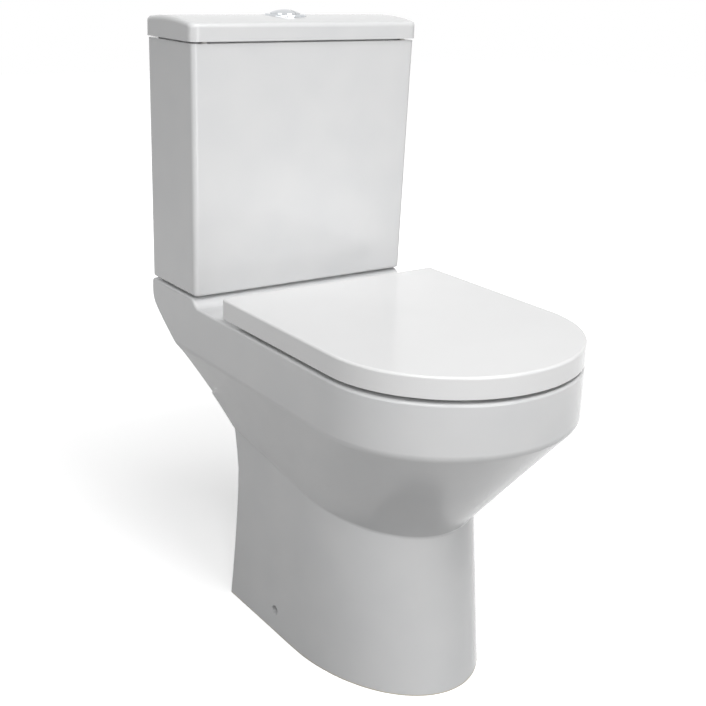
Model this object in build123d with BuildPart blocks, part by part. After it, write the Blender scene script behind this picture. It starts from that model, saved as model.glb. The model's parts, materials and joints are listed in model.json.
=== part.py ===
from build123d import *
import math
import os

os.makedirs("parts", exist_ok=True)

# Sizes in millimetres. The origin is on the floor under the middle of the whole suite, +X is to
# the right seen from the front and the front faces -Y. A "depth" is a distance out from the wall.
# Pan, outside.
rim_height = 432.0
shelf_step = 11.0
band_height = 66.0
pan_width = 347.0
pan_front = 600.0
pan_nose = 156.0
pan_back = 5.0
waist_height = 230.5
waist_tilt = 9.0
waist_width = 235.5
waist_front = 468.0
waist_nose = 154.0
foot_width = 245.0
foot_front = 497.0
foot_nose = 180.0
shelf_front = 116.0
step_run = 24.0
skirt_lip = 15.0
skirt_run = 160.0
skirt_foot = 185.0
foot_back = 150.0
crease_radius = 14.0
waist_radius = 6.0
rim_radius = 3.5
china = 12.0

# Pan, inside.
opening_width = 256.0
opening_length = 296.0
opening_middle = 405.0
lip_depth = 44.0
lip_thickness = 10.0
lip_radius = 8.0
duct_width = 16.0
duct_height = 20.0
duct_floor = 10.0
rim_box_drop = 17.0
rim_hole_radius = 2.5
rim_hole_count = 22
bowl_margin = 6.0
bowl_floor = 160.0
trap_radius = 28.0
trap_bend = 40.0
trap_wall = 10.0
trap_leg = 321.0
trap_dip = 97.0
trap_weir = 211.0
outlet_height = 180.0
outlet_radius = 51.0
outlet_bore = 42.0
outlet_end = 95.0
outlet_length = 55.0
shelf_thickness = 25.0
ledge_thickness = 20.0
ledge_front = 262.0
flush_way_width = 92.0
flush_way_height = 16.0
inlet_recess_radius = 49.0
inlet_recess_depth = 23.0
inlet_recess_floor = 8.0
inlet_throat_radius = 26.0
floor_hole_radius = 6.5
floor_hole_depth = 267.0
floor_hole_height = 31.4

# Cistern.
cistern_gap = 3.0
tank_base_width = 345.0
tank_top_width = 357.0
tank_depth = 128.0
tank_height = 334.0
tank_wall = 9.0
tank_floor = 12.0
tank_corner = 7.0
tank_edge = 4.0
lid_overhang = 3.0
lid_seat_gap = 2.5
lid_front_height = 22.5
lid_back_height = 24.5
lid_crown = 29.0
lid_thickness = 8.0
lid_corner = 12.0
lid_edge = 6.5
lid_spigot_depth = 8.0
lid_spigot_wall = 6.0
lid_spigot_clearance = 1.5
lid_pad_radius = 4.0
wall_hole_radius = 4.0
wall_hole_spacing = 220.0
wall_hole_height = 240.0
service_inset = 44.5
service_notch_width = 46.0
service_notch_depth = 92.0

# Fixings and seals.
rubber = 3.0
washer = 1.5
fit = 0.2
coupling_reach = 86.0
bolt_radius = 4.0
bolt_head_radius = 8.0
bolt_head = 5.5
seat_bolt_reach = 77.5
seat_bolt_depth = 232.0
nut_height = 9.0

# Flush valve.
valve_thread_radius = 30.0
valve_flange_radius = 41.0
valve_flange = 4.0
valve_seat = 5.0
valve_backnut = 10.0
cage_radius = 36.0
cage_wall = 3.0
cage_height = 203.0
cage_top = 4.0
stem_radius = 11.0
stem_wall = 2.0
stem_height = 246.0
rod_reach = 15.5
rod_radius = 3.25
lever_pivot = 29.0
lever_tip = 57.0
lever_width = 8.0
lever_thickness = 4.0
lever_pivot_rise = 18.0
lever_play = 1.0
lifter_thickness = 3.0
pivot_pin_radius = 1.5

# Push button.
button_radius = 20.5
bezel_bore = 21.0
bezel_shank = 23.5
bezel_flange = 28.5
bezel_rise = 3.2
bezel_depth = 30.0
bezel_floor = 2.0
button_split = 5.0
button_gap = 0.6
button_edge_rise = 5.5
button_crown = 4.5
button_body = 12.0
spring_wire = 0.6
spring_turns = 4

# Fill valve.
riser_radius = 11.0
riser_height = 248.0
tail_radius = 10.4
tail_drop = 48.0
tail_relief = 1.5
head_radius = 19.0
head_height = 28.0
cap_height = 6.0
float_radius = 27.0
float_height = 56.0
float_rest = 182.0
arm_pivot = 14.0
arm_reach = 24.0
arm_rise = 16.0
arm_thickness = 4.0
link_radius = 1.6

# Seat.
seat_lid_overhang = 0.4
seat_side_inset = 1.0
seat_lid_back = 200.7
seat_lid_height = 25.9
seat_lid_lift = 5.5
seat_lid_skirt = 4.0
seat_lid_top = 5.0
seat_ring_gap = 1.5
seat_ring_lift = 5.5
seat_ring_thickness = 18.4
seat_ring_back = 223.5
seat_side_bar = 55.0
seat_front_bar = 53.9
seat_back_bar = 41.5
hinge_depth = 211.5
hinge_rise = 18.5
hinge_radius = 7.0
hinge_pin_radius = 3.5
hinge_running = 0.06
hinge_post_width = 16.0
hinge_knuckle = 18.0
hinge_base_radius = 21.0
hinge_base = 3.4
buffer_radius = 8.0
buffer_inset = 66.0

projection = pan_front + seat_lid_overhang


def wall_y(depth):
    """Position along Y of a depth measured out from the wall."""
    return projection / 2 - depth


def nose_outline(plane, width, back, front, nose):
    """Plan of a straight sided form with a half ellipse for its front."""
    half = width / 2
    with BuildSketch(plane) as outline:
        with BuildLine():
            EllipticalCenterArc((0, wall_y(front - nose)), half, nose, 180, arc_size=180)
            Polyline(
                (half, wall_y(front - nose)),
                (half, wall_y(back)),
                (-half, wall_y(back)),
                (-half, wall_y(front - nose)),
            )
        make_face()
    return outline.sketch


def oval(height, middle, width, length):
    """Plan of an oval centred on a depth."""
    with BuildSketch(Plane.XY.offset(height)) as outline:
        with Locations((0, wall_y(middle))):
            Ellipse(width / 2, length / 2)
    return outline.sketch


def ring_solid(radius, bore, base, height, places):
    """Plain washers, one at each place."""
    with BuildPart() as rings:
        with BuildSketch(Plane.XY.offset(base)):
            with Locations(*places):
                Circle(radius)
                Circle(bore, mode=Mode.SUBTRACT)
        extrude(amount=height)
    return rings.part


shelf_height = rim_height + shelf_step
crease_height = rim_height - band_height
crease_plane = Plane.XY.offset(crease_height)
waist_lean = math.radians(waist_tilt)
waist_plane = Plane(
    origin=(0, 0, waist_height),
    x_dir=(1, 0, 0),
    z_dir=(0, -math.sin(waist_lean), math.cos(waist_lean)),
)
tank_base = shelf_height + cistern_gap
tank_inside = tank_base + tank_floor
tank_top = tank_base + tank_height
lid_base = tank_top + lid_seat_gap
tank_back = lid_overhang - 1
tank_middle = tank_back + tank_depth / 2
flush_y = wall_y(tank_middle)
service_reach = tank_base_width / 2 - service_inset

# Pan: outer form, from the floor to the cistern shelf.
foot_outline = nose_outline(Plane.XY, foot_width, 0, foot_front, foot_nose)
waist_outline = nose_outline(waist_plane, waist_width, -10, waist_front, waist_nose)
crease_outline = nose_outline(crease_plane, pan_width, 0, pan_front, pan_nose)

with BuildSketch(Plane.YZ) as side_outline:
    with BuildLine():
        back_edge = Line((wall_y(pan_back), shelf_height), (wall_y(pan_back), shelf_height - skirt_lip))
        skirt = Spline(
            back_edge @ 1,
            (wall_y(pan_back + 0.1 * skirt_run), crease_height + 35),
            (wall_y(pan_back + 0.33 * skirt_run), crease_height + 10),
            (wall_y(pan_back + 0.6 * skirt_run), crease_height - 25),
            (wall_y(skirt_run - 28), crease_height - 66),
            (wall_y(skirt_run), skirt_foot),
            tangents=((0, -1), (0, -1)),
        )
        plinth_back = Spline(skirt @ 1, (wall_y(foot_back), 0), tangents=((0, -1), (0.1, -1)))
        Polyline(
            plinth_back @ 1,
            (wall_y(pan_front + 20), 0),
            (wall_y(pan_front + 20), rim_height),
            (wall_y(shelf_front + step_run), rim_height),
        )
        Spline(
            (wall_y(shelf_front + step_run), rim_height),
            (wall_y(shelf_front), shelf_height),
            tangents=((1, 0), (1, 0)),
        )
        Line((wall_y(shelf_front), shelf_height), (wall_y(pan_back), shelf_height))
    make_face()

# Bowl sections grow from the sump to the underside of the rim.
rim_under = rim_height - lip_depth
bowl_width = opening_width + 2 * (lip_thickness + duct_width - bowl_margin + 2)
bowl_length = opening_length + 2 * (lip_thickness + duct_width - bowl_margin + 2)
bowl_steps = 5


def bowl_sections(grow, drop):
    """Ovals of the bowl, all larger by grow, with the lowest lowered by drop."""
    sections = []
    for step in range(bowl_steps + 1):
        share = step / bowl_steps
        spread = math.sin(share * math.pi / 2)
        height = bowl_floor + (rim_under - bowl_floor) * share
        width = 2 * trap_radius + 4 + (bowl_width - 2 * trap_radius - 4) * spread
        length = 2 * trap_radius + 4 + (bowl_length - 2 * trap_radius - 4) * spread
        middle = trap_leg + (opening_middle - trap_leg) * share
        lowered = height - drop if step == 0 else height
        sections.append(oval(lowered, middle, width + 2 * grow, length + 2 * grow))
    return sections


with BuildPart() as bowl_space:
    loft(bowl_sections(0, 0))

with BuildPart() as bowl_skin:
    loft(bowl_sections(china, china))

# Trapway: down from the sump, up over the weir and level out to the spigot.
dip_y = wall_y(trap_leg - trap_bend)
weir_y = wall_y(trap_leg - 3 * trap_bend)
fall = trap_weir - outlet_height
fall_angle = math.degrees(math.acos(1 - fall / 2 / trap_bend))
with BuildLine(Plane.YZ) as trap_path:
    leg_in = Line((wall_y(trap_leg), bowl_floor + 6), (wall_y(trap_leg), trap_dip + trap_bend))
    dip = CenterArc((dip_y, trap_dip + trap_bend), trap_bend, 180, 180)
    leg_up = Line(dip @ 1, (dip_y + trap_bend, trap_weir - trap_bend))
    weir = CenterArc((weir_y, trap_weir - trap_bend), trap_bend, 180, -90 - fall_angle)
    ease = CenterArc(
        (weir_y + 2 * trap_bend * math.sin(math.radians(fall_angle)), outlet_height + trap_bend),
        trap_bend,
        270 - fall_angle,
        fall_angle,
    )
    Line(ease @ 1, (wall_y(outlet_end + outlet_length / 3), outlet_height))

trap_mouth = Plane(origin=(0, wall_y(trap_leg), bowl_floor + 6), z_dir=(0, 0, -1))
outlet_plane = Plane(origin=(0, wall_y(outlet_end + outlet_length), outlet_height), z_dir=(0, 1, 0))

with BuildPart() as trap_skin:
    with BuildSketch(trap_mouth) as trap_section:
        Circle(trap_radius + trap_wall)
    sweep(trap_section.sketch, path=trap_path.line)
    with BuildSketch(outlet_plane) as spigot_section:
        Circle(outlet_radius)
    extrude(spigot_section.sketch, amount=outlet_length)
    spigot_rim = trap_skin.edges().filter_by(GeomType.CIRCLE).sort_by(Axis.Y)[-1]
    chamfer(spigot_rim, 2)

with BuildPart() as trap_bore:
    with BuildSketch(trap_mouth) as bore_section:
        Circle(trap_radius)
    sweep(bore_section.sketch, path=trap_path.line)
    with BuildSketch(outlet_plane.offset(trap_wall)) as outlet_section:
        Circle(outlet_bore)
    extrude(outlet_section.sketch, amount=outlet_length)

# The pan is cast as a double wall: this hollow lies between its outside and its bowl.
shelf_under = shelf_height - shelf_thickness
ledge_under = rim_height - ledge_thickness
slant = china + 3
way_top = shelf_height - inlet_recess_depth - inlet_recess_floor
way_floor = way_top - flush_way_height
duct_base = rim_under + duct_floor
duct_inner = 2 * lip_thickness
duct_outer = 2 * (lip_thickness + duct_width)
with BuildPart() as pan_hollow:
    foot_inner = nose_outline(
        Plane.XY.offset(-1), foot_width - 2 * china, -20, foot_front - china, foot_nose - china
    )
    waist_inner = nose_outline(
        waist_plane, waist_width - 2 * china, -30, waist_front - slant, waist_nose - china
    )
    crease_inner = nose_outline(
        crease_plane, pan_width - 2 * china, -20, pan_front - slant, pan_nose - china
    )
    loft([foot_inner, waist_inner], ruled=True)
    loft([waist_inner, crease_inner], ruled=True)
    extrude(crease_inner, amount=ledge_under - crease_height)
    with BuildSketch(Plane.XY.offset(ledge_under)):
        with Locations((0, wall_y(shelf_front / 2 - 10))):
            Rectangle(pan_width - 2 * china, shelf_front + 20)
    extrude(amount=shelf_under - ledge_under)
    rim_box = oval(
        rim_under - rim_box_drop,
        opening_middle,
        opening_width + duct_outer + 2 * china,
        opening_length + duct_outer + 2 * china,
    )
    extrude(rim_box, amount=rim_height - rim_under + rim_box_drop, mode=Mode.SUBTRACT)
    with BuildSketch(Plane.XY.offset(crease_height)):
        with Locations((0, wall_y((opening_middle + pan_front) / 2))):
            Rectangle(pan_width, pan_front - opening_middle)
    extrude(amount=band_height, mode=Mode.SUBTRACT)
    with BuildSketch(Plane.YZ):
        with BuildLine():
            Polyline(
                (wall_y(-30), shelf_height),
                (wall_y(-30), way_floor - lip_thickness),
                (wall_y(tank_middle), way_floor - lip_thickness),
                (wall_y(ledge_front), duct_base - 2 * lip_thickness),
                (wall_y(ledge_front), shelf_height),
                close=True,
            )
        make_face()
    extrude(amount=flush_way_width / 2 + lip_thickness, both=True, mode=Mode.SUBTRACT)
    add(bowl_skin.part, mode=Mode.SUBTRACT)
    add(trap_skin.part, mode=Mode.SUBTRACT)

with BuildPart() as pan:
    extrude(crease_outline, amount=shelf_height - crease_height)
    loft([waist_outline, crease_outline], ruled=True)
    loft([foot_outline, waist_outline], ruled=True)
    extrude(side_outline.sketch, amount=pan_width, both=True, mode=Mode.INTERSECT)
    creases = [
        edge
        for edge in pan.edges().filter_by_position(Axis.Z, crease_height - 0.5, crease_height + 0.5)
        if edge.bounding_box().size.Z < 1
    ]
    fillet(creases, crease_radius)
    waists = [
        edge
        for edge in pan.edges()
        if all(abs(waist_plane.to_local_coords(edge @ share).Z) < 0.5 for share in (0.1, 0.5, 0.9))
    ]
    fillet(waists, waist_radius)
    top_edges = [
        edge
        for edge in pan.edges().filter_by_position(Axis.Z, rim_height - 0.5, shelf_height + 0.5)
        if edge.bounding_box().size.Y > 1
    ]
    fillet(top_edges, rim_radius)
    add(pan_hollow.part, mode=Mode.SUBTRACT)
    add(trap_skin.part)
    # Bowl, with the overhanging lip of its box rim.
    extrude(oval(rim_height, opening_middle, opening_width, opening_length), amount=-lip_depth - 2,
            mode=Mode.SUBTRACT)
    lip_edge = pan.edges().filter_by_position(Axis.Z, rim_height - 0.01, rim_height + 0.01)
    fillet(lip_edge.filter_by(GeomType.ELLIPSE), lip_radius)
    add(bowl_space.part, mode=Mode.SUBTRACT)
    add(trap_bore.part, mode=Mode.SUBTRACT)
    # Water way from the cistern inlet to the hollow rim.
    with BuildSketch(Plane.YZ):
        with BuildLine():
            Polyline(
                (wall_y(tank_middle - inlet_throat_radius), way_top),
                (wall_y(tank_middle - inlet_throat_radius), way_floor),
                (wall_y(tank_middle + inlet_throat_radius), way_floor),
                (wall_y(ledge_front - lip_thickness), duct_base),
                (wall_y(ledge_front - lip_thickness), way_top),
                close=True,
            )
        make_face()
    extrude(amount=flush_way_width / 2, both=True, mode=Mode.SUBTRACT)
    with BuildSketch(Plane.XY.offset(duct_base)):
        with Locations((0, wall_y(opening_middle))):
            Ellipse((opening_width + duct_outer) / 2, (opening_length + duct_outer) / 2)
            Ellipse(
                (opening_width + duct_inner) / 2,
                (opening_length + duct_inner) / 2,
                mode=Mode.SUBTRACT,
            )
    extrude(amount=duct_height, mode=Mode.SUBTRACT)
    hole_half_x = opening_width / 2 + lip_thickness + duct_width / 2
    hole_half_y = opening_length / 2 + lip_thickness + duct_width / 2
    hole_places = [
        (
            hole_half_x * math.cos(2 * math.pi * (index + 0.5) / rim_hole_count),
            wall_y(opening_middle) + hole_half_y * math.sin(2 * math.pi * (index + 0.5) / rim_hole_count),
        )
        for index in range(rim_hole_count)
    ]
    with BuildSketch(Plane.XY.offset(rim_under - 1)):
        with Locations(*hole_places):
            Circle(rim_hole_radius)
    extrude(amount=duct_floor + 2, mode=Mode.SUBTRACT)
    with BuildSketch(Plane.XY.offset(shelf_height)):
        with Locations((0, flush_y)):
            Circle(inlet_recess_radius)
    extrude(amount=-inlet_recess_depth, mode=Mode.SUBTRACT)
    with BuildSketch(Plane.XY.offset(shelf_height)):
        with Locations((0, flush_y)):
            Circle(inlet_throat_radius)
    extrude(amount=-inlet_recess_depth - inlet_recess_floor - 1, mode=Mode.SUBTRACT)
    # Bolt holes, and notches behind for the supply pipe on either side.
    with BuildSketch(Plane.XY.offset(shelf_height)):
        with Locations((-coupling_reach, flush_y), (coupling_reach, flush_y)):
            Circle(bolt_radius + 2)
        with Locations((-service_reach, wall_y(0)), (service_reach, wall_y(0))):
            Rectangle(service_notch_width, 2 * service_notch_depth)
    extrude(amount=-shelf_thickness - 1, mode=Mode.SUBTRACT)
    seat_bolt_places = [
        (-seat_bolt_reach, wall_y(seat_bolt_depth)),
        (seat_bolt_reach, wall_y(seat_bolt_depth)),
    ]
    with BuildSketch(Plane.XY.offset(rim_height)):
        with Locations(*seat_bolt_places):
            Circle(bolt_radius + 3)
    extrude(amount=-ledge_thickness - 1, mode=Mode.SUBTRACT)
    with BuildSketch(Plane.XY.offset(ledge_under)):
        with Locations(*seat_bolt_places):
            Circle(bolt_radius + 13)
    extrude(amount=-lip_depth, mode=Mode.SUBTRACT)
    with BuildSketch(Plane.YZ):
        with Locations((wall_y(floor_hole_depth), floor_hole_height)):
            Circle(floor_hole_radius)
    extrude(amount=pan_width, both=True, mode=Mode.SUBTRACT)
pan.part.label = "pan"
export_step(pan.part, "parts/pan.step")
print("pan", round(pan.part.volume), len(pan.solids()), pan.part.is_valid)

# Cistern tank: a slightly flared box with rounded corners, open at the top.
with BuildPart() as cistern_tank:
    with BuildSketch(Plane.XY.offset(tank_base)):
        with Locations((0, flush_y)):
            RectangleRounded(tank_base_width, tank_depth, tank_corner)
    with BuildSketch(Plane.XY.offset(tank_top)):
        with Locations((0, flush_y)):
            RectangleRounded(tank_top_width, tank_depth, tank_corner)
    loft()
    fillet(cistern_tank.faces().sort_by(Axis.Z)[0].edges(), tank_edge)
    with BuildSketch(Plane.XY.offset(tank_inside)):
        with Locations((0, flush_y)):
            RectangleRounded(
                tank_base_width - 2 * tank_wall, tank_depth - 2 * tank_wall, tank_corner - 2
            )
    with BuildSketch(Plane.XY.offset(tank_top)):
        with Locations((0, flush_y)):
            RectangleRounded(
                tank_top_width - 2 * tank_wall, tank_depth - 2 * tank_wall, tank_corner - 2
            )
    loft(mode=Mode.SUBTRACT)
    with BuildSketch(Plane.XY.offset(tank_base - 1)):
        with Locations((0, flush_y)):
            Circle(valve_thread_radius + 2)
        with Locations((-coupling_reach, flush_y), (coupling_reach, flush_y)):
            Circle(bolt_radius + 1)
        with Locations((-service_reach, flush_y), (service_reach, flush_y)):
            Circle(tail_radius + 1)
    extrude(amount=tank_floor + 2, mode=Mode.SUBTRACT)
    with BuildSketch(Plane.XZ.offset(-wall_y(0))):
        with Locations(
            (-wall_hole_spacing / 2, tank_base + wall_hole_height),
            (wall_hole_spacing / 2, tank_base + wall_hole_height),
        ):
            Circle(wall_hole_radius)
    extrude(amount=tank_back + tank_wall + 2, mode=Mode.SUBTRACT)
cistern_tank.part.label = "cistern_tank"
export_step(cistern_tank.part, "parts/cistern_tank.step")

# Cistern lid: crowned top, hollow below, with a spigot that drops inside the tank.
lid_width = tank_top_width + 2 * lid_overhang
lid_depth = tank_back + tank_depth + lid_overhang
lid_front_top = lid_base + lid_front_height
lid_back_top = lid_base + lid_back_height
lid_middle_y = wall_y(lid_depth / 2)
with BuildPart() as cistern_lid:
    with BuildSketch(Plane.XY.offset(lid_base)):
        with Locations((0, lid_middle_y)):
            RectangleRounded(lid_width, lid_depth, lid_corner)
    extrude(amount=lid_crown + 5)
    with BuildSketch(Plane.YZ):
        with BuildLine():
            Polyline(
                (wall_y(0), lid_back_top),
                (wall_y(0), lid_base),
                (wall_y(lid_depth), lid_base),
                (wall_y(lid_depth), lid_front_top),
            )
            ThreePointArc(
                (wall_y(lid_depth), lid_front_top),
                (lid_middle_y, lid_base + lid_crown),
                (wall_y(0), lid_back_top),
            )
        make_face()
    extrude(amount=lid_width, both=True, mode=Mode.INTERSECT)
    crown_edges = [
        edge
        for edge in cistern_lid.edges().filter_by_position(
            Axis.Z, lid_front_top - 1, lid_base + lid_crown
        )
        if abs(edge.center().Z - lid_base) > lid_front_height - 2
    ]
    fillet(crown_edges, lid_edge)
    with BuildSketch(Plane.XY.offset(lid_base)):
        with Locations((0, flush_y)):
            RectangleRounded(
                tank_top_width - 2 * tank_wall, tank_depth - 2 * tank_wall, tank_corner - 2
            )
    extrude(amount=lid_front_height - lid_thickness, mode=Mode.SUBTRACT)
    with BuildSketch(Plane.XY.offset(lid_base - lid_seat_gap - lid_spigot_depth)):
        with Locations((0, flush_y)):
            RectangleRounded(
                tank_top_width - 2 * tank_wall - 2 * lid_spigot_clearance,
                tank_depth - 2 * tank_wall - 2 * lid_spigot_clearance,
                tank_corner - 3,
            )
            RectangleRounded(
                tank_top_width - 2 * tank_wall - 2 * lid_spigot_clearance - 2 * lid_spigot_wall,
                tank_depth - 2 * tank_wall - 2 * lid_spigot_clearance - 2 * lid_spigot_wall,
                tank_corner - 6,
                mode=Mode.SUBTRACT,
            )
    extrude(amount=lid_spigot_depth + lid_seat_gap + lid_front_height - lid_thickness + 1)
    button_seat = lid_base + lid_crown - 1.2
    with BuildSketch(Plane.XY.offset(button_seat)):
        with Locations((0, flush_y)):
            Circle(bezel_flange + 1)
    extrude(amount=5, mode=Mode.SUBTRACT)
    with BuildSketch(Plane.XY.offset(lid_base)):
        with Locations((0, flush_y)):
            Circle(bezel_shank + 1)
    extrude(amount=lid_crown, mode=Mode.SUBTRACT)
cistern_lid.part.label = "cistern_lid"
export_step(cistern_lid.part, "parts/cistern_lid.step")

lid_under = lid_base + lid_front_height - lid_thickness
pad_x = tank_top_width / 2 - tank_wall / 2
pad_y = tank_depth / 2 - tank_wall / 2
with BuildPart() as lid_pads:
    with BuildSketch(Plane.XY.offset(tank_top)):
        with Locations((0, flush_y)):
            with GridLocations(2 * pad_x - 30, 2 * pad_y, 2, 2):
                Circle(lid_pad_radius)
    extrude(amount=lid_seat_gap)
lid_pads.part.label = "lid_pads"
export_step(lid_pads.part, "parts/lid_pads.step")

# Push button in the lid: flanged bezel, clamping nut, two half buttons, springs and rods.
bezel_top = button_seat + bezel_rise
bezel_base = bezel_top - bezel_depth
with BuildPart() as button_bezel:
    with BuildSketch(Plane.XZ.offset(-flush_y)):
        with BuildLine():
            Polyline(
                (rod_radius / 2, bezel_base),
                (bezel_shank, bezel_base),
                (bezel_shank, button_seat),
                (bezel_flange, button_seat),
                (bezel_flange, button_seat + 1),
            )
            ThreePointArc(
                (bezel_flange, button_seat + 1),
                (bezel_flange - 0.9, bezel_top - 0.6),
                (bezel_flange - 3, bezel_top),
            )
            Polyline(
                (bezel_flange - 3, bezel_top),
                (bezel_bore, bezel_top),
                (bezel_bore, bezel_base + bezel_floor),
                (rod_radius / 2, bezel_base + bezel_floor),
                (rod_radius / 2, bezel_base),
            )
        make_face()
    revolve(axis=Axis((0, flush_y, 0), (0, 0, 1)))
    with BuildSketch(Plane.XY.offset(bezel_base - 1)):
        with Locations((-rod_reach, flush_y), (rod_reach, flush_y)):
            Circle(rod_radius + fit)
    extrude(amount=bezel_floor + 2, mode=Mode.SUBTRACT)
button_bezel.part.label = "button_bezel"
export_step(button_bezel.part, "parts/button_bezel.step")

gasket_height = 2.0
button_gasket_part = ring_solid(
    bezel_shank + 6, bezel_shank + fit, lid_under - gasket_height, gasket_height, [(0, flush_y)]
)
with BuildPart() as button_gasket:
    add(button_gasket_part)
button_gasket.part.label = "button_gasket"
export_step(button_gasket.part, "parts/button_gasket.step")

with BuildPart() as button_nut:
    with BuildSketch(Plane.XY.offset(lid_under - gasket_height - 6)):
        with Locations((0, flush_y)):
            Circle(bezel_shank + 5)
            with PolarLocations(bezel_shank + 5, 8):
                Circle(2.5)
            Circle(bezel_shank + fit, mode=Mode.SUBTRACT)
    extrude(amount=6)
button_nut.part.label = "button_nut"
export_step(button_nut.part, "parts/button_nut.step")

button_top = bezel_top + button_edge_rise + button_crown - 4
button_edge = button_top - button_crown
button_base = button_edge - button_body
dome_radius = (button_radius**2 + button_crown**2) / 2 / button_crown


def half_button(low, high):
    """The part of the domed round button between two positions along X."""
    with BuildPart() as half:
        with BuildSketch(Plane.XY.offset(button_base)):
            with Locations((0, flush_y)):
                Circle(button_radius)
            with Locations(((low + high) / 2, flush_y)):
                Rectangle(high - low, 4 * button_radius, mode=Mode.INTERSECT)
        extrude(amount=button_body + button_crown)
        with Locations((0, flush_y, button_top - dome_radius)):
            Sphere(dome_radius, mode=Mode.INTERSECT)
    return half.part


with BuildPart() as button_full:
    add(half_button(-2 * button_radius, button_split - button_gap / 2))
button_full.part.label = "button_full"
export_step(button_full.part, "parts/button_full.step")

with BuildPart() as button_half:
    add(half_button(button_split + button_gap / 2, 2 * button_radius))
button_half.part.label = "button_half"
export_step(button_half.part, "parts/button_half.step")

# Heights up the flush valve.
lever_height = tank_inside + rubber + valve_flange + cage_height + cage_top + lever_pivot_rise
rod_foot = lever_height + lever_thickness / 2 + lever_play


def push_rod(place):
    """Rod with a rounded foot, from the button down to its lever."""
    with BuildPart() as rod:
        with BuildSketch(Plane.XY.offset(rod_foot + rod_radius)):
            with Locations((place, flush_y)):
                Circle(rod_radius)
        extrude(amount=button_base - rod_foot - rod_radius)
        with Locations((place, flush_y, rod_foot + rod_radius)):
            Sphere(rod_radius)
    return rod.part


with BuildPart() as push_rod_full:
    add(push_rod(-rod_reach))
push_rod_full.part.label = "push_rod_full"
export_step(push_rod_full.part, "parts/push_rod_full.step")

with BuildPart() as push_rod_half:
    add(push_rod(rod_reach))
push_rod_half.part.label = "push_rod_half"
export_step(push_rod_half.part, "parts/push_rod_half.step")

# Return springs, each wound round its rod between the bezel floor and the button.
spring_base = bezel_base + bezel_floor + spring_wire
spring_rise = button_base - spring_base - spring_wire


def return_spring(place):
    """Open coil round a rod, swept in half turns."""
    with BuildPart() as spring:
        with BuildLine() as coil:
            Helix(
                spring_rise / spring_turns,
                spring_rise,
                (rod_radius + spring_wire + 0.4),
                center=(place, flush_y, spring_base),
            )
        with BuildSketch(Plane(coil.line @ 0, z_dir=coil.line % 0)) as wire:
            Circle(spring_wire)
        sweep(wire.sketch, path=coil.line, is_frenet=True)
    return spring.part


with BuildPart() as spring_full:
    add(return_spring(-rod_reach))
spring_full.part.label = "spring_full"
export_step(spring_full.part, "parts/spring_full.step")

with BuildPart() as spring_half:
    add(return_spring(rod_reach))
spring_half.part.label = "spring_half"
export_step(spring_half.part, "parts/spring_half.step")

# Flush valve through the tank floor.
flange_base = tank_inside + rubber
seat_top = flange_base + valve_flange + valve_seat
shank_end = shelf_height - inlet_recess_depth + 4
with BuildPart() as flush_valve_seal:
    add(ring_solid(valve_flange_radius, valve_thread_radius + fit, tank_inside, rubber, [(0, flush_y)]))
flush_valve_seal.part.label = "flush_valve_seal"
export_step(flush_valve_seal.part, "parts/flush_valve_seal.step")

with BuildPart() as flush_valve_base:
    with BuildSketch(Plane.XZ.offset(-flush_y)):
        with BuildLine():
            Polyline(
                (valve_thread_radius - 4, shank_end),
                (valve_thread_radius, shank_end),
                (valve_thread_radius, flange_base),
                (valve_flange_radius, flange_base),
                (valve_flange_radius, flange_base + valve_flange),
                (valve_thread_radius, flange_base + valve_flange),
                (valve_thread_radius - 1.5, seat_top),
                (valve_thread_radius - 3, seat_top),
                (valve_thread_radius - 4, seat_top - 1),
                close=True,
            )
        make_face()
    revolve(axis=Axis((0, flush_y, 0), (0, 0, 1)))
flush_valve_base.part.label = "flush_valve_base"
export_step(flush_valve_base.part, "parts/flush_valve_base.step")

with BuildPart() as flush_valve_backnut:
    with BuildSketch(Plane.XY.offset(tank_base - valve_backnut)):
        with Locations((0, flush_y)):
            RegularPolygon(valve_thread_radius + 9, 8)
            Circle(valve_thread_radius + fit, mode=Mode.SUBTRACT)
    extrude(amount=valve_backnut)
flush_valve_backnut.part.label = "flush_valve_backnut"
export_step(flush_valve_backnut.part, "parts/flush_valve_backnut.step")

with BuildPart() as coupling_seal:
    with BuildSketch(Plane.XY.offset(shelf_height - inlet_recess_depth)):
        with Locations((0, flush_y)):
            Circle(inlet_recess_radius - 2)
            Circle(valve_thread_radius + fit, mode=Mode.SUBTRACT)
    extrude(amount=inlet_recess_depth + cistern_gap - valve_backnut)
    fillet(coupling_seal.faces().sort_by(Axis.Z)[-1].edges().sort_by(Edge.length)[-1], 3)
coupling_seal.part.label = "coupling_seal"
export_step(coupling_seal.part, "parts/coupling_seal.step")

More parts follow.
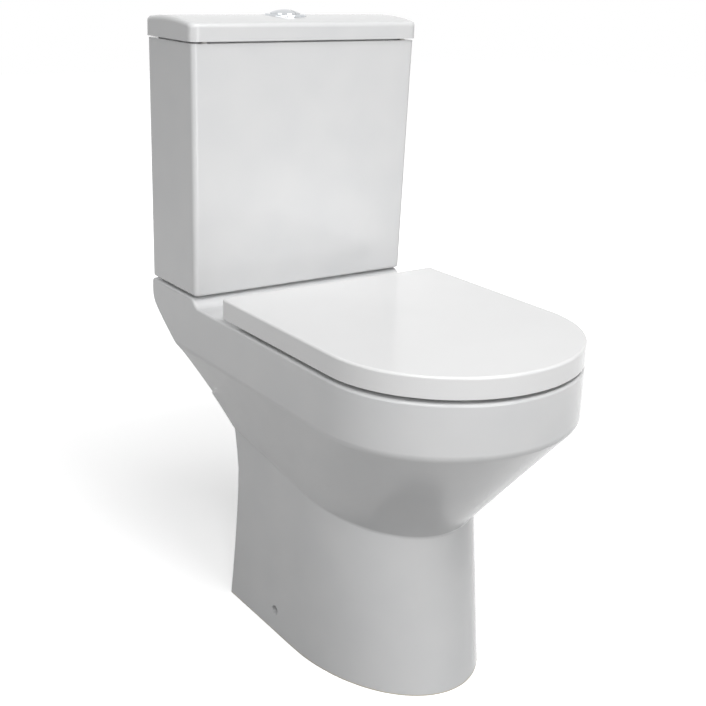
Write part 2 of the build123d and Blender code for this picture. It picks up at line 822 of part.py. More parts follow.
# Cage of the flush valve, with tall windows and a pair of ears for each lever.
cage_base = flange_base + valve_flange
plate_base = cage_base + cage_height
ear_gap = lever_width / 2 + 0.6
ear_width = 3.0
with BuildPart() as flush_valve_cage:
    with BuildSketch(Plane.XY.offset(cage_base)):
        with Locations((0, flush_y)):
            Circle(cage_radius)
            Circle(cage_radius - cage_wall, mode=Mode.SUBTRACT)
    extrude(amount=cage_height)
    with BuildSketch(Plane.XY.offset(cage_base + 14)):
        with Locations((0, flush_y)):
            Rectangle(2.4 * cage_radius, cage_radius)
            Rectangle(cage_radius, 2.4 * cage_radius)
    extrude(amount=cage_height - 34, mode=Mode.SUBTRACT)
    with BuildSketch(Plane.XY.offset(plate_base)):
        with Locations((0, flush_y)):
            Circle(cage_radius)
            Circle(stem_radius + 0.6, mode=Mode.SUBTRACT)
    extrude(amount=cage_top)
    with BuildSketch(Plane.XZ.offset(-flush_y)):
        with Locations((-lever_pivot, lever_height), (lever_pivot, lever_height)):
            Circle(4)
        with Locations(
            (-lever_pivot, lever_height - lever_pivot_rise / 2),
            (lever_pivot, lever_height - lever_pivot_rise / 2),
        ):
            Rectangle(8, lever_pivot_rise)
        with Locations((-lever_pivot, lever_height), (lever_pivot, lever_height)):
            Circle(pivot_pin_radius, mode=Mode.SUBTRACT)
    extrude(amount=ear_gap + ear_width, both=True)
    with BuildSketch(Plane.XY.offset(plate_base + cage_top)):
        with Locations((-lever_pivot, flush_y), (lever_pivot, flush_y)):
            Rectangle(9, 2 * ear_gap)
    extrude(amount=lever_pivot_rise + 5, mode=Mode.SUBTRACT)
flush_valve_cage.part.label = "flush_valve_cage"
export_step(flush_valve_cage.part, "parts/flush_valve_cage.step")

# Rocking levers: pressing the inner pad lifts the outer end.


def rocker(side):
    """Lever along X on one side of the valve, with a round pivot eye."""
    with BuildPart() as lever:
        with BuildSketch(Plane.XZ.offset(-flush_y)):
            with Locations((side * (rod_reach - 3 + lever_tip) / 2, lever_height)):
                Rectangle(lever_tip - rod_reach + 3, lever_thickness)
            with Locations((side * lever_pivot, lever_height)):
                Circle(pivot_pin_radius + 1.3)
            with Locations((side * lever_pivot, lever_height)):
                Circle(pivot_pin_radius + hinge_running, mode=Mode.SUBTRACT)
        extrude(amount=lever_width / 2, both=True)
        fillet(lever.edges().filter_by(Axis.Z).group_by(SortBy.DISTANCE)[-1], 3)
    return lever.part


with BuildPart() as lever_full:
    add(rocker(-1))
lever_full.part.label = "lever_full"
export_step(lever_full.part, "parts/lever_full.step")

with BuildPart() as lever_half:
    add(rocker(1))
lever_half.part.label = "lever_half"
export_step(lever_half.part, "parts/lever_half.step")

with BuildPart() as lever_pins:
    with BuildSketch(Plane.XZ.offset(-flush_y)):
        with Locations((-lever_pivot, lever_height), (lever_pivot, lever_height)):
            Circle(pivot_pin_radius)
    extrude(amount=ear_gap + ear_width, both=True)
lever_pins.part.label = "lever_pins"
export_step(lever_pins.part, "parts/lever_pins.step")

# Moving stem: overflow pipe with its seal, float and the crosshead that the levers lift.
stem_base = seat_top + rubber + 0.1
with BuildPart() as flush_stem:
    with BuildSketch(Plane.XY.offset(stem_base)):
        with Locations((0, flush_y)):
            Circle(valve_thread_radius - 3)
            Circle(stem_radius - stem_wall, mode=Mode.SUBTRACT)
    extrude(amount=3)
    with BuildSketch(Plane.XY.offset(stem_base)):
        with Locations((0, flush_y)):
            Circle(stem_radius)
            Circle(stem_radius - stem_wall, mode=Mode.SUBTRACT)
    extrude(amount=stem_height)
flush_stem.part.label = "flush_stem"
export_step(flush_stem.part, "parts/flush_stem.step")

with BuildPart() as flush_seal:
    add(ring_solid(valve_thread_radius, stem_radius - stem_wall, stem_base - rubber, rubber, [(0, flush_y)]))
flush_seal.part.label = "flush_seal"
export_step(flush_seal.part, "parts/flush_seal.step")

with BuildPart() as stem_float:
    with BuildSketch(Plane.XY.offset(stem_base + 3 + 90)):
        with Locations((0, flush_y)):
            Circle(cage_radius - cage_wall - 3)
            Circle(stem_radius + 0.1, mode=Mode.SUBTRACT)
    extrude(amount=40)
    fillet(stem_float.edges().filter_by(GeomType.CIRCLE).group_by(SortBy.RADIUS)[-1], 3)
stem_float.part.label = "stem_float"
export_step(stem_float.part, "parts/stem_float.step")

# Each lever has its own lifter: the half flush one slides on the stem, under the fixed crosshead.
lifter_base = lever_height + lever_thickness / 2 + lever_play + 0.2
crosshead_base = lifter_base + lifter_thickness + 0.2


def lifter_plate(base, side, bore):
    """Disc round the stem with holes for both rods and an arm over one lever."""
    with BuildPart() as plate:
        with BuildSketch(Plane.XY.offset(base)):
            with Locations((0, flush_y)):
                Circle(rod_reach + rod_radius + 5)
            with Locations((side * lever_tip / 2, flush_y)):
                Rectangle(lever_tip, lever_width)
            with Locations((0, flush_y)):
                Circle(bore, mode=Mode.SUBTRACT)
            with Locations((-rod_reach, flush_y), (rod_reach, flush_y)):
                Circle(rod_radius + 1.2, mode=Mode.SUBTRACT)
        extrude(amount=lifter_thickness)
    return plate.part


with BuildPart() as half_lifter:
    add(lifter_plate(lifter_base, 1, stem_radius + 0.6))
half_lifter.part.label = "half_lifter"
export_step(half_lifter.part, "parts/half_lifter.step")

with BuildPart() as stem_crosshead:
    add(lifter_plate(crosshead_base, -1, stem_radius + 0.1))
    with BuildSketch(Plane.XY.offset(lifter_base)):
        with Locations((-lever_tip + lever_width / 2, flush_y)):
            Rectangle(lever_width, lever_width)
    extrude(amount=crosshead_base - lifter_base)
stem_crosshead.part.label = "stem_crosshead"
export_step(stem_crosshead.part, "parts/stem_crosshead.step")

# Fill valve and blanking plug through the tank floor, one on either side.
fill_place = [(service_reach, flush_y)]
plug_place = [(-service_reach, flush_y)]
riser_top = flange_base + rubber + riser_height
with BuildPart() as fill_valve_seal:
    add(ring_solid(head_radius, tail_radius + fit, tank_inside, rubber, fill_place))
fill_valve_seal.part.label = "fill_valve_seal"
export_step(fill_valve_seal.part, "parts/fill_valve_seal.step")

with BuildPart() as fill_valve_body:
    with BuildSketch(Plane.XY.offset(tank_base - tail_drop)):
        with Locations(*fill_place):
            Circle(tail_radius)
    extrude(amount=tail_drop + tank_floor + rubber)
    with BuildSketch(Plane.XY.offset(flange_base)):
        with Locations(*fill_place):
            Circle(head_radius)
    extrude(amount=rubber)
    with BuildSketch(Plane.XY.offset(flange_base + rubber)):
        with Locations(*fill_place):
            Circle(riser_radius)
    extrude(amount=riser_height)
    with BuildSketch(Plane.XY.offset(riser_top)):
        with Locations(*fill_place):
            Circle(head_radius)
    extrude(amount=head_height)
    # Relief between the free thread of the tail and the part inside the nut.
    with BuildSketch(Plane.XY.offset(tank_base - nut_height - 1 - tail_relief)):
        with Locations(*fill_place):
            Circle(tail_radius + 1)
            Circle(tail_radius - 0.8, mode=Mode.SUBTRACT)
    extrude(amount=tail_relief, mode=Mode.SUBTRACT)
    with BuildSketch(Plane.XY.offset(tank_base - tail_drop)):
        with Locations(*fill_place):
            Circle(tail_radius - 3.4)
    extrude(amount=riser_height, mode=Mode.SUBTRACT)
fill_valve_body.part.label = "fill_valve_body"
export_step(fill_valve_body.part, "parts/fill_valve_body.step")

with BuildPart() as service_nuts:
    with BuildSketch(Plane.XY.offset(tank_base - nut_height)):
        with Locations(*fill_place, *plug_place):
            RegularPolygon(tail_radius + 6.6, 6)
            Circle(tail_radius + fit, mode=Mode.SUBTRACT)
    extrude(amount=nut_height)
service_nuts.part.label = "service_nuts"
export_step(service_nuts.part, "parts/service_nuts.step")

cap_base = riser_top + head_height
arm_height = cap_base + cap_height + arm_rise
arm_pivot_x = service_reach + arm_pivot
arm_tip_x = service_reach - arm_reach
with BuildPart() as fill_valve_cap:
    with BuildSketch(Plane.XY.offset(cap_base)):
        with Locations(*fill_place):
            Circle(head_radius)
    extrude(amount=cap_height)
    fillet(fill_valve_cap.faces().sort_by(Axis.Z)[-1].edges(), 1.5)
    with BuildSketch(Plane.XZ.offset(-flush_y)):
        with Locations((arm_pivot_x, cap_base + (cap_height + arm_rise) / 2)):
            Rectangle(8, cap_height + arm_rise)
        with Locations((arm_pivot_x, arm_height)):
            Circle(4)
            Circle(pivot_pin_radius, mode=Mode.SUBTRACT)
    extrude(amount=ear_gap + ear_width, both=True)
    with BuildSketch(Plane.XY.offset(cap_base + cap_height)):
        with Locations((arm_pivot_x, flush_y)):
            Rectangle(9, 2 * ear_gap)
    extrude(amount=arm_rise + 5, mode=Mode.SUBTRACT)
fill_valve_cap.part.label = "fill_valve_cap"
export_step(fill_valve_cap.part, "parts/fill_valve_cap.step")

with BuildPart() as float_arm:
    with BuildSketch(Plane.XZ.offset(-flush_y)):
        with Locations(((arm_pivot_x + arm_tip_x - 6) / 2, arm_height)):
            Rectangle(arm_pivot_x - arm_tip_x + 6, arm_thickness)
        with Locations((arm_pivot_x, arm_height)):
            Circle(3.4)
            Circle(pivot_pin_radius + hinge_running, mode=Mode.SUBTRACT)
    extrude(amount=lever_width / 2, both=True)
    with BuildSketch(Plane.XY.offset(arm_height - arm_thickness)):
        with Locations((arm_tip_x, flush_y)):
            SlotOverall(9.6, 2 * link_radius + 1.2)
    extrude(amount=2 * arm_thickness, mode=Mode.SUBTRACT)
float_arm.part.label = "float_arm"
export_step(float_arm.part, "parts/float_arm.step")

with BuildPart() as float_arm_pin:
    with BuildSketch(Plane.XZ.offset(-flush_y)):
        with Locations((arm_pivot_x, arm_height)):
            Circle(pivot_pin_radius)
    extrude(amount=ear_gap + ear_width, both=True)
float_arm_pin.part.label = "float_arm_pin"
export_step(float_arm_pin.part, "parts/float_arm_pin.step")

float_base = tank_inside + float_rest
with BuildPart() as fill_float:
    with BuildSketch(Plane.XY.offset(float_base)):
        with Locations(*fill_place):
            Circle(float_radius)
            Circle(riser_radius + 1.2, mode=Mode.SUBTRACT)
    extrude(amount=float_height)
    fillet(fill_float.edges().filter_by(GeomType.CIRCLE).group_by(SortBy.RADIUS)[-1], 3)
fill_float.part.label = "fill_float"
export_step(fill_float.part, "parts/fill_float.step")

link_base = float_base + float_height
with BuildPart() as float_link:
    with BuildSketch(Plane.XY.offset(link_base)):
        with Locations((arm_tip_x, flush_y)):
            Circle(link_radius)
    extrude(amount=arm_height - link_base + 8)
    with BuildSketch(Plane.XY.offset(arm_height + arm_thickness / 2 + 2)):
        with Locations((arm_tip_x, flush_y)):
            Circle(3.6)
    extrude(amount=3)
    with BuildSketch(Plane.XY.offset(link_base)):
        with Locations((arm_tip_x, flush_y)):
            Circle(2.8)
    extrude(amount=6)
float_link.part.label = "float_link"
export_step(float_link.part, "parts/float_link.step")

with BuildPart() as plug_seal:
    add(ring_solid(head_radius, tail_radius + fit, tank_inside, rubber, plug_place))
plug_seal.part.label = "plug_seal"
export_step(plug_seal.part, "parts/plug_seal.step")

with BuildPart() as blanking_plug:
    with BuildSketch(Plane.XY.offset(tank_base - nut_height - 3)):
        with Locations(*plug_place):
            Circle(tail_radius)
    extrude(amount=nut_height + 3 + tank_floor + rubber)
    with BuildSketch(Plane.XY.offset(flange_base)):
        with Locations(*plug_place):
            Circle(head_radius)
    extrude(amount=rubber)
    with BuildSketch(Plane.XY.offset(flange_base + rubber)):
        with Locations(*plug_place):
            RegularPolygon(10, 6)
    extrude(amount=5)
blanking_plug.part.label = "blanking_plug"
export_step(blanking_plug.part, "parts/blanking_plug.step")

# Coupling bolts that hold the cistern down on the pan.
coupling_places = [(-coupling_reach, flush_y), (coupling_reach, flush_y)]
nut_top = shelf_under - rubber - washer
with BuildPart() as coupling_bolts:
    with BuildSketch(Plane.XY.offset(flange_base)):
        with Locations(*coupling_places):
            RegularPolygon(bolt_head_radius, 6)
    extrude(amount=bolt_head)
    with BuildSketch(Plane.XY.offset(nut_top - nut_height - 12)):
        with Locations(*coupling_places):
            Circle(bolt_radius)
    extrude(amount=flange_base - nut_top + nut_height + 12)
coupling_bolts.part.label = "coupling_bolts"
export_step(coupling_bolts.part, "parts/coupling_bolts.step")

with BuildPart() as coupling_bolt_seals:
    add(ring_solid(12, bolt_radius + fit, tank_inside, rubber, coupling_places))
coupling_bolt_seals.part.label = "coupling_bolt_seals"
export_step(coupling_bolt_seals.part, "parts/coupling_bolt_seals.step")

with BuildPart() as coupling_pads:
    add(ring_solid(12, bolt_radius + fit, shelf_under - rubber, rubber, coupling_places))
coupling_pads.part.label = "coupling_pads"
export_step(coupling_pads.part, "parts/coupling_pads.step")

with BuildPart() as coupling_washers:
    add(ring_solid(11, bolt_radius + fit, nut_top, washer, coupling_places))
coupling_washers.part.label = "coupling_washers"
export_step(coupling_washers.part, "parts/coupling_washers.step")


def wing_nuts(places, top, bore):
    """Nuts with a pair of wings each, hanging below a height."""
    with BuildPart() as nuts:
        with BuildSketch(Plane.XY.offset(top - nut_height)):
            with Locations(*places):
                Circle(bore + 4)
                Rectangle(2 * bore + 22, 3)
                Circle(bore, mode=Mode.SUBTRACT)
        extrude(amount=nut_height)
    return nuts.part


with BuildPart() as coupling_wing_nuts:
    add(wing_nuts(coupling_places, nut_top, bolt_radius + fit))
coupling_wing_nuts.part.label = "coupling_wing_nuts"
export_step(coupling_wing_nuts.part, "parts/coupling_wing_nuts.step")

# Seat hinges: post on a base, held down through the pan, with a pin along X.
hinge_y = wall_y(hinge_depth)
hinge_height = rim_height + hinge_rise
hinge_floor = rim_height + washer
base_top = hinge_floor + hinge_base
post_front = hinge_depth + hinge_radius + 3.5
post_back = hinge_depth - hinge_radius + 1.5
with BuildPart() as hinge_gaskets:
    add(ring_solid(hinge_base_radius, bolt_radius + fit, rim_height, washer, seat_bolt_places))
hinge_gaskets.part.label = "hinge_gaskets"
export_step(hinge_gaskets.part, "parts/hinge_gaskets.step")

with BuildPart() as hinge_posts:
    with BuildSketch(Plane.YZ.offset(seat_bolt_reach - hinge_post_width / 2)):
        with BuildLine():
            Polyline(
                (wall_y(post_back), hinge_height),
                (wall_y(post_back), hinge_floor),
                (wall_y(post_front), hinge_floor),
                (wall_y(post_front), base_top),
                (wall_y(post_back + 2 * hinge_radius - 1), hinge_height),
            )
            ThreePointArc(
                (wall_y(post_back + 2 * hinge_radius - 1), hinge_height),
                (hinge_y, hinge_height + hinge_radius - 0.5),
                (wall_y(post_back), hinge_height),
            )
        make_face()
    extrude(amount=hinge_post_width)
    mirror(about=Plane.YZ)
    with BuildSketch(Plane.XY.offset(hinge_floor)):
        with Locations(*seat_bolt_places):
            Circle(hinge_base_radius)
    extrude(amount=hinge_base)
    with BuildSketch(Plane.YZ):
        with Locations((hinge_y, hinge_height)):
            Circle(hinge_pin_radius)
    extrude(amount=pan_width, both=True, mode=Mode.SUBTRACT)
    with BuildSketch(Plane.XY.offset(hinge_floor - 1)):
        with Locations(*seat_bolt_places):
            Circle(bolt_radius + fit)
    extrude(amount=hinge_base + 2, mode=Mode.SUBTRACT)
    with BuildSketch(Plane.XY.offset(base_top - 2)):
        with Locations(*seat_bolt_places):
            Circle(bolt_head_radius)
    extrude(amount=3, mode=Mode.SUBTRACT)
hinge_posts.part.label = "hinge_posts"
export_step(hinge_posts.part, "parts/hinge_posts.step")

knuckle_gap = 0.5
pin_inner = seat_bolt_reach - hinge_post_width / 2 - knuckle_gap - hinge_knuckle
pin_outer = seat_bolt_reach + hinge_post_width / 2 + knuckle_gap + hinge_knuckle
with BuildPart() as hinge_pins:
    with BuildSketch(Plane.YZ.offset(pin_inner)):
        with Locations((hinge_y, hinge_height)):
            Circle(hinge_pin_radius)
    extrude(amount=pin_outer - pin_inner)
    mirror(about=Plane.YZ)
hinge_pins.part.label = "hinge_pins"
export_step(hinge_pins.part, "parts/hinge_pins.step")

seat_nut_top = ledge_under - rubber
with BuildPart() as seat_bolts:
    with BuildSketch(Plane.XY.offset(base_top - 2)):
        with Locations(*seat_bolt_places):
            Circle(bolt_head_radius - fit)
    extrude(amount=1.8)
    with BuildSketch(Plane.XY.offset(seat_nut_top - nut_height - 12)):
        with Locations(*seat_bolt_places):
            Circle(bolt_radius)
    extrude(amount=base_top - 2 - seat_nut_top + nut_height + 12)
seat_bolts.part.label = "seat_bolts"
export_step(seat_bolts.part, "parts/seat_bolts.step")

with BuildPart() as seat_bolt_washers:
    add(ring_solid(12, bolt_radius + fit, ledge_under - rubber, rubber, seat_bolt_places))
seat_bolt_washers.part.label = "seat_bolt_washers"
export_step(seat_bolt_washers.part, "parts/seat_bolt_washers.step")

with BuildPart() as seat_wing_nuts:
    add(wing_nuts(seat_bolt_places, seat_nut_top, bolt_radius + fit))
seat_wing_nuts.part.label = "seat_wing_nuts"
export_step(seat_wing_nuts.part, "parts/seat_wing_nuts.step")

# Seat ring, with two knuckles on the hinge pins, inboard of the posts.
seat_width = pan_width - 2 * seat_side_inset
seat_front = pan_front + seat_lid_overhang
ring_inset = seat_lid_skirt + seat_ring_gap
ring_base = rim_height + seat_ring_lift
ring_top = ring_base + seat_ring_thickness
seat_opening_width = seat_width - 2 * (ring_inset + seat_side_bar)
seat_opening_front = seat_front - ring_inset - seat_front_bar
seat_opening_back = seat_ring_back + seat_back_bar
seat_opening_length = seat_opening_front - seat_opening_back
seat_opening_middle = (seat_opening_front + seat_opening_back) / 2
with BuildPart() as seat_ring:
    ring_plan = nose_outline(
        Plane.XY.offset(ring_base),
        seat_width - 2 * ring_inset,
        seat_ring_back,
        seat_front - ring_inset,
        pan_nose - ring_inset,
    )
    extrude(ring_plan, amount=seat_ring_thickness)
    corners = seat_ring.edges().filter_by(Axis.Z).group_by(Axis.Y)[-1]
    fillet(corners, 8)
    extrude(
        oval(ring_base, seat_opening_middle, seat_opening_width, seat_opening_length),
        amount=seat_ring_thickness,
        mode=Mode.SUBTRACT,
    )
    fillet(seat_ring.faces().sort_by(Axis.Z)[-1].edges(), 5)
    ring_knuckle = hinge_post_width / 2 + knuckle_gap
    with BuildSketch(Plane.YZ.offset(seat_bolt_reach - ring_knuckle - hinge_knuckle)):
        with Locations((hinge_y, hinge_height)):
            Circle(hinge_radius)
        with Locations((wall_y((hinge_depth + seat_ring_back + 6) / 2), hinge_height - 1)):
            Rectangle(seat_ring_back + 6 - hinge_depth, 2 * hinge_radius - 2)
    extrude(amount=hinge_knuckle)
    with BuildSketch(Plane.YZ.offset(-seat_bolt_reach + ring_knuckle)):
        with Locations((hinge_y, hinge_height)):
            Circle(hinge_radius)
        with Locations((wall_y((hinge_depth + seat_ring_back + 6) / 2), hinge_height - 1)):
            Rectangle(seat_ring_back + 6 - hinge_depth, 2 * hinge_radius - 2)
    extrude(amount=hinge_knuckle)
    with BuildSketch(Plane.YZ):
        with Locations((hinge_y, hinge_height)):
            Circle(hinge_pin_radius + hinge_running)
    extrude(amount=seat_bolt_reach, both=True, mode=Mode.SUBTRACT)
seat_ring.part.label = "seat_ring"
export_step(seat_ring.part, "parts/seat_ring.step")

# Buffers stand on the middle of the ring's side bars and of its front bar.
bar_x = (seat_opening_width + seat_width) / 4 - ring_inset / 2
bar_front = (seat_opening_front + seat_front - ring_inset) / 2
with BuildPart() as ring_buffers:
    with BuildSketch(Plane.XY.offset(rim_height + fit)):
        with Locations(
            (-bar_x, wall_y(seat_opening_middle)),
            (bar_x, wall_y(seat_opening_middle)),
            (-bar_x / 2, wall_y(bar_front - buffer_radius)),
            (bar_x / 2, wall_y(bar_front - buffer_radius)),
            (-bar_x, wall_y(seat_ring_back + buffer_inset)),
            (bar_x, wall_y(seat_ring_back + buffer_inset)),
        ):
            Circle(buffer_radius)
    extrude(amount=seat_ring_lift - fit)
ring_buffers.part.label = "ring_buffers"
export_step(ring_buffers.part, "parts/ring_buffers.step")

# Seat lid: a shallow shell that drops over the ring, with knuckles outboard of the posts.
seat_lid_base = rim_height + seat_lid_lift
seat_lid_under = seat_lid_base + seat_lid_height - seat_lid_top
with BuildPart() as seat_lid:
    lid_plan = nose_outline(
        Plane.XY.offset(seat_lid_base), seat_width, seat_lid_back, seat_front, pan_nose
    )
    extrude(lid_plan, amount=seat_lid_height)
    fillet(seat_lid.edges().filter_by(Axis.Z).group_by(Axis.Y)[-1], 6)
    fillet(seat_lid.faces().sort_by(Axis.Z)[-1].edges(), 3)
    lid_inner = nose_outline(
        Plane.XY.offset(seat_lid_base),
        seat_width - 2 * seat_lid_skirt,
        seat_lid_back - 10,
        seat_front - seat_lid_skirt,
        pan_nose - seat_lid_skirt,
    )
    extrude(lid_inner, amount=seat_lid_height - seat_lid_top, mode=Mode.SUBTRACT)
    for place in (seat_bolt_reach + ring_knuckle, -seat_bolt_reach - ring_knuckle - hinge_knuckle):
        with BuildSketch(Plane.YZ.offset(place)):
            with Locations((hinge_y, hinge_height)):
                Circle(hinge_radius)
            with Locations((hinge_y, (hinge_height + seat_lid_under) / 2)):
                Rectangle(2 * hinge_radius - 2, seat_lid_under - hinge_height)
            with Locations((hinge_y, hinge_height)):
                Circle(hinge_pin_radius + hinge_running, mode=Mode.SUBTRACT)
        extrude(amount=hinge_knuckle)
seat_lid.part.label = "seat_lid"
export_step(seat_lid.part, "parts/seat_lid.step")

with BuildPart() as lid_buffers:
    with BuildSketch(Plane.XY.offset(ring_top + fit)):
        with Locations(
            (-bar_x / 3, wall_y(bar_front)),
            (bar_x / 3, wall_y(bar_front)),
            (-bar_x, wall_y(seat_ring_back + 1.5 * buffer_inset)),
            (bar_x, wall_y(seat_ring_back + 1.5 * buffer_inset)),
        ):
            Circle(buffer_radius - 2)
    extrude(amount=seat_lid_under - ring_top - fit)
lid_buffers.part.label = "lid_buffers"
export_step(lid_buffers.part, "parts/lid_buffers.step")
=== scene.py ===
import json
import math
import bpy
from mathutils import Matrix, Vector


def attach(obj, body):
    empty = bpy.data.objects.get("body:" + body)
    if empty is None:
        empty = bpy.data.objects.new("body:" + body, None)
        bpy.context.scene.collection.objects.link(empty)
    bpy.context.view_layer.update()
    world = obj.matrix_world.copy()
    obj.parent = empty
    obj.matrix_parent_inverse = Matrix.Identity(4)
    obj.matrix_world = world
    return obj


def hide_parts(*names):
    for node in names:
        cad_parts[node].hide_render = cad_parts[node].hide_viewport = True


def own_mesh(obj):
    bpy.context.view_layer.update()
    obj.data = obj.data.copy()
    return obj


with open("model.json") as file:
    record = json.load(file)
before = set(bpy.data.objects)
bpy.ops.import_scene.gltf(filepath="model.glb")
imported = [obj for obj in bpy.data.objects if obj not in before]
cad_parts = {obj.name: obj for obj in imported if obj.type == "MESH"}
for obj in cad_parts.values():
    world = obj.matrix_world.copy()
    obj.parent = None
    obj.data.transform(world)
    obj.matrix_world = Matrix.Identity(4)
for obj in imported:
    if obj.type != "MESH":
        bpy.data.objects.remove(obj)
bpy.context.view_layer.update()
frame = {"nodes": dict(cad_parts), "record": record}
nodes = frame["nodes"]
print("frame loaded:", len(nodes), "nodes")

mm = 0.001


def toLinear(hexColour):
    values = []
    for start in (1, 3, 5):
        share = int(hexColour[start:start + 2], 16) / 255
        values.append(share / 12.92 if share <= 0.04045 else ((share + 0.055) / 1.055) ** 2.4)
    return (*values, 1.0)


def perMetre(sizeMm):
    # noise scale for a pattern whose real size is given in mm
    return 1 / (sizeMm * mm)


def addObject(name, data):
    thing = bpy.data.objects.new(name, data)
    bpy.context.scene.collection.objects.link(thing)
    return thing


def addNode(tree, kind, settings=None, links=None):
    # settings: socket name or number, or attribute -> value; links: socket -> output socket
    node = tree.nodes.new(kind)
    for key, value in (settings or {}).items():
        if isinstance(key, int) or key in node.inputs:
            node.inputs[key].default_value = value
        else:
            setattr(node, key, value)
    for key, source in (links or {}).items():
        tree.links.new(source, node.inputs[key])
    return node


def newMaterial(name):
    material = bpy.data.materials.new(name)
    material.use_nodes = True
    tree = material.node_tree
    tree.nodes.clear()
    return material, tree


def finishMaterial(tree, shader):
    addNode(tree, "ShaderNodeOutputMaterial", links={"Surface": shader.outputs[0]})


# The helpers below each add one node and give back the output that the next one takes.
def ownPlace(tree):
    return addNode(tree, "ShaderNodeTexCoord").outputs["Object"]


def stretched(tree, place, scale, turn=0):
    return addNode(tree, "ShaderNodeMapping", {"Rotation": (0, 0, turn), "Scale": scale},
                   {"Vector": place}).outputs["Vector"]


def noise(tree, place, sizeMm, detail, more=None):
    return addNode(tree, "ShaderNodeTexNoise",
                   {"Scale": perMetre(sizeMm), "Detail": detail, **(more or {})},
                   {"Vector": place}).outputs["Fac"]


def cells(tree, place, sizeMm):
    return addNode(tree, "ShaderNodeTexVoronoi", {"Scale": perMetre(sizeMm)},
                   {"Vector": place}).outputs["Distance"]


def remap(tree, source, out, span=(0, 1)):
    return addNode(tree, "ShaderNodeMapRange",
                   {"From Min": span[0], "From Max": span[1], "To Min": out[0], "To Max": out[1]},
                   {"Value": source}).outputs["Result"]


def blend(tree, share, first, second):
    return addNode(tree, "ShaderNodeMix",
                   {"data_type": "RGBA", 6: toLinear(first), 7: toLinear(second)},
                   {0: share}).outputs[2]


def bump(tree, source, relief, under=None):
    # relief: strength and height in mm
    links = {"Height": source}
    if under:
        links["Normal"] = under
    return addNode(tree, "ShaderNodeBump", {"Strength": relief[0], "Distance": relief[1] * mm},
                   links).outputs["Normal"]


def unevenRoughness(tree, source, settings):
    return remap(tree, source, [settings["roughness"] * share for share in settings["spread"]])


def seenOrMirrored(tree):
    # 1 where the camera, a reflection or a view through glass meets it, 0 for its own light
    path = addNode(tree, "ShaderNodeLightPath")
    mirrored = addNode(tree, "ShaderNodeMath", {"operation": "MAXIMUM"},
                       {0: path.outputs["Is Glossy Ray"], 1: path.outputs["Is Transmission Ray"]})
    return addNode(tree, "ShaderNodeMath", {"operation": "MAXIMUM"},
                   {0: path.outputs["Is Camera Ray"], 1: mirrored.outputs[0]}).outputs[0]


# White glazed vitreous china: slip cast clay under a sprayed clear glaze. A soft white body lies
# under a hard wet gloss, and the glaze is never dead flat, so its reflections are slightly wavy.
# Below the foot the glaze is wiped off before firing, which leaves dull cream clay.
china = {
    "colour": "#ebebeb",
    "poolColour": "#e2e3e4",  # where the glaze lies a little thicker
    "clayColour": "#d9d2c4",
    "clayTop": 1.5,  # mm of bare clay above the floor
    "lineWidth": 0.5,  # mm over which the glaze gives way to clay
    "lineWander": 0.6,  # mm that the glaze line rises and falls
    "ior": 1.52,
    "roughness": 0.14,
    "spread": (0.85, 1.2),  # shares of the roughness between which the glaze varies
    "clayRoughness": 0.85,
    "swellSize": 60,  # mm between the slow swells of the glaze
    "peelSize": 3.0,  # mm, orange peel of the sprayed glaze
    "pinSize": 1.4,  # mm between the pits left by gas; real ones are finer than the render shows
    "pinReach": 0.05,  # a pit's radius as a share of that
    "clayGrain": 0.5,
    "swellRelief": (0.4, 0.10),
    "peelRelief": (0.3, 0.006),
    "pinRelief": (0.15, 0.006),
    "clayRelief": (0.5, 0.05),
}


def glazedChina(settings):
    material, tree = newMaterial("glazedVitreousChina")
    place = ownPlace(tree)
    swell = noise(tree, place, settings["swellSize"], 1.0, {"Roughness": 0.4})
    peel = noise(tree, place, settings["peelSize"], 2.0, {"Roughness": 0.5})
    pit = remap(tree, cells(tree, place, settings["pinSize"]), (0, 1), (0, settings["pinReach"]))
    grain = noise(tree, place, settings["clayGrain"], 3.0)
    tint = blend(tree, swell, settings["colour"], settings["poolColour"])
    axes = addNode(tree, "ShaderNodeSeparateXYZ", links={"Vector": place})
    # glaze line: a slightly uneven edge just above the floor
    line = addNode(tree, "ShaderNodeMath",
                   {"operation": "MULTIPLY_ADD", 1: -settings["lineWander"] * mm},
                   {0: peel, 2: axes.outputs["Z"]})
    clayTop = settings["clayTop"] * mm
    glazed = remap(tree, line.outputs[0], (0, 1), (clayTop - settings["lineWidth"] * mm, clayTop))
    colour = addNode(tree, "ShaderNodeMix",
                     {"data_type": "RGBA", 6: toLinear(settings["clayColour"])},
                     {0: glazed, 7: tint})
    roughness = addNode(tree, "ShaderNodeMix", {2: settings["clayRoughness"]},
                        {0: glazed, 3: unevenRoughness(tree, peel, settings)})
    swellBump = bump(tree, swell, settings["swellRelief"])
    peelBump = bump(tree, peel, settings["peelRelief"], swellBump)
    pitBump = bump(tree, pit, settings["pinRelief"], peelBump)
    clayBump = bump(tree, grain, settings["clayRelief"])
    facing = addNode(tree, "ShaderNodeMix", {"data_type": "VECTOR"},
                     {0: glazed, 4: clayBump, 5: pitBump})
    shader = addNode(tree, "ShaderNodeBsdfPrincipled", {"IOR": settings["ior"]},
                     {"Base Color": colour.outputs[2], "Roughness": roughness.outputs[0],
                      "Normal": facing.outputs[1]})
    finishMaterial(tree, shader)
    return material


# White urea thermoset, hot pressed in a polished steel mould: heavier and glassier than common
# plastic, very even in colour, with faint buffing left from polishing the flash off its edges.
seatThermoset = {
    "colour": "#f7f7f7",
    "deepColour": "#f3f3f3",
    "ior": 1.55,
    "roughness": 0.13,
    "spread": (0.8, 1.3),
    "flowSize": 90,  # mm, slow change of tone where the powder flowed
    "buffSize": 2.2,  # mm between buffing marks, drawn coarser than the real ones
    "buffStretch": (1.0, 0.15, 1.0),
    "buffRelief": (0.3, 0.003),
}


